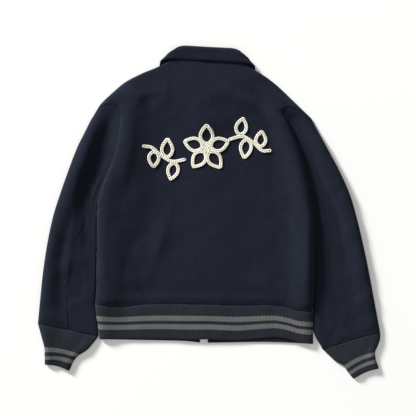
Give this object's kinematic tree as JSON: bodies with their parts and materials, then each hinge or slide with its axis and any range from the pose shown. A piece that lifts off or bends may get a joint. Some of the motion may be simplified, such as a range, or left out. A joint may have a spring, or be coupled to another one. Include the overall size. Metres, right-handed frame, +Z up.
{
  "type": "golf jacket laid face down",
  "caption": "Zip-front blouson in heavy napped wool with a turned-down collar, two-piece sleeves and striped rib-knit cuffs and hem band, zipped shut and laid face down.",
  "frame": {"origin": "on the surface that the jacket lies on, at the middle of its outline seen from above", "axes": "+Z up out of the surface and out of the back panel, +Y from the hem towards the collar, +X towards the sleeve that lies on the right as the back is seen with the collar at the top, which is the wearer's right"},
  "size_m": [0.8012, 0.7802, 0.0235],
  "materials": {
    "melton_wool": "matt napped wool, deep navy",
    "rib_knit": "ribbed wool knit, dark slate with two grey stripes",
    "zip_tape": "woven cotton tape, navy",
    "brass": "worn brass"
  },
  "bodies": {
    "jacket": {"back": "melton_wool", "front_left": "melton_wool", "front_right": "melton_wool", "sleeve_left_top": "melton_wool", "sleeve_left_under": "melton_wool", "sleeve_right_top": "melton_wool", "sleeve_right_under": "melton_wool", "collar_leaf": "melton_wool", "collar_stand": "melton_wool", "cuff_left": "rib_knit", "cuff_right": "rib_knit", "hem_rib": "rib_knit", "zip_tape_left": "zip_tape", "zip_tape_right": "zip_tape", "zip_chain": "brass", "zip_box": "brass", "zip_slider": "brass"},
    "pull": {"zip_pull": "brass"}
  },
  "joints": [
    {"name": "pull_swing", "type": "hinge", "parent": "jacket", "child": "pull", "pos_m": [-0.00842, 0.256, 0.00405], "axis": [1, 0, 0], "range_deg": [-5, 170]}
  ]
}
